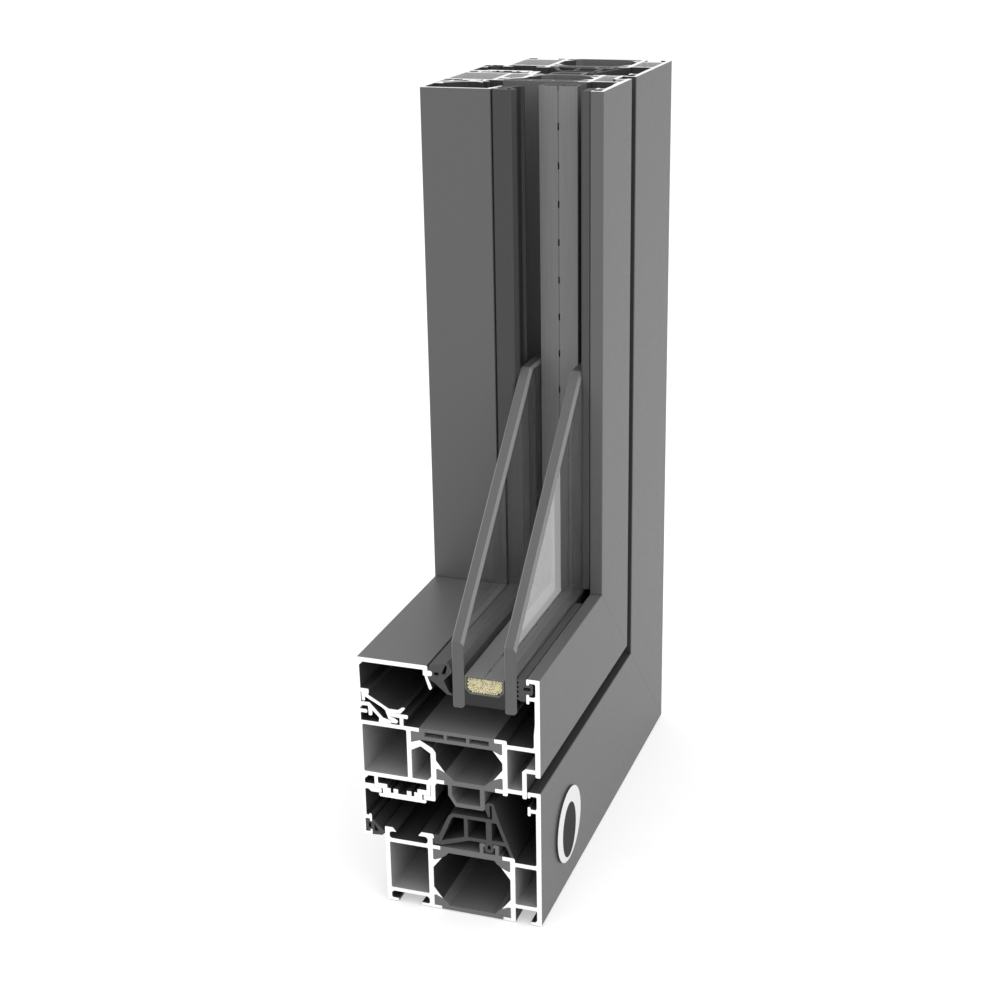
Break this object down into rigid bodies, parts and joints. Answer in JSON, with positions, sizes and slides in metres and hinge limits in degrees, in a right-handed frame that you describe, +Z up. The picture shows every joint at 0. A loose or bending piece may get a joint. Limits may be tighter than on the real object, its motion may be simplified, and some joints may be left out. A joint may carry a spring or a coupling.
{
  "type": "aluminium window corner section",
  "caption": "Corner of a thermally broken aluminium window with sash, glazing bead, gaskets and cut double glazing, sawn to show the section.",
  "frame": {"origin": "centre of the part's box, at the underside of the sill", "axes": "+Z up along the jamb, +X along the sill towards the corner, +Y inward from the outside face"},
  "size_m": [0.206, 0.081, 0.336],
  "materials": {
    "coated_aluminium": "satin grey coating, bare and bright where sawn",
    "polyamide": "glass-filled, matt grey",
    "gasket_rubber": "matt black",
    "rod_aluminium": "mill finish",
    "clip_aluminium": "mill finish",
    "spacer_metal": "grey, rolled",
    "desiccant_beads": "pale yellow beads",
    "sealant": "dull black",
    "window_glass": "clear float glass",
    "badge_plastic": "plain white, gloss"
  },
  "bodies": {
    "root": {"sill_frame_outer_profile": "coated_aluminium", "jamb_frame_outer_profile": "coated_aluminium", "sill_frame_inner_profile": "coated_aluminium", "jamb_frame_inner_profile": "coated_aluminium", "sill_frame_upper_break": "polyamide", "jamb_frame_upper_break": "polyamide", "sill_frame_lower_break": "polyamide", "jamb_frame_lower_break": "polyamide", "sill_centre_gasket": "gasket_rubber", "jamb_centre_gasket": "gasket_rubber", "sill_sash_outer_profile": "coated_aluminium", "jamb_sash_outer_profile": "coated_aluminium", "sill_sash_inner_profile": "coated_aluminium", "jamb_sash_inner_profile": "coated_aluminium", "sill_sash_glazing_break": "polyamide", "jamb_sash_glazing_break": "polyamide", "sill_sash_lower_break": "polyamide", "jamb_sash_lower_break": "polyamide", "sill_drive_rod": "rod_aluminium", "jamb_drive_rod": "rod_aluminium", "sill_inner_rebate_gasket": "gasket_rubber", "jamb_inner_rebate_gasket": "gasket_rubber", "sill_glazing_bead": "coated_aluminium", "jamb_glazing_bead": "coated_aluminium", "sill_bead_clip": "clip_aluminium", "jamb_bead_clip": "clip_aluminium", "sill_inner_glazing_gasket": "gasket_rubber", "jamb_inner_glazing_gasket": "gasket_rubber", "sill_outer_glazing_gasket": "gasket_rubber", "jamb_outer_glazing_gasket": "gasket_rubber", "sill_spacer_bar": "spacer_metal", "jamb_spacer_bar": "spacer_metal", "sill_desiccant": "desiccant_beads", "sill_edge_sealant": "sealant", "jamb_edge_sealant": "sealant", "outer_glass_pane": "window_glass", "inner_glass_pane": "window_glass", "round_badge": "badge_plastic"}
  },
  "joints": []
}
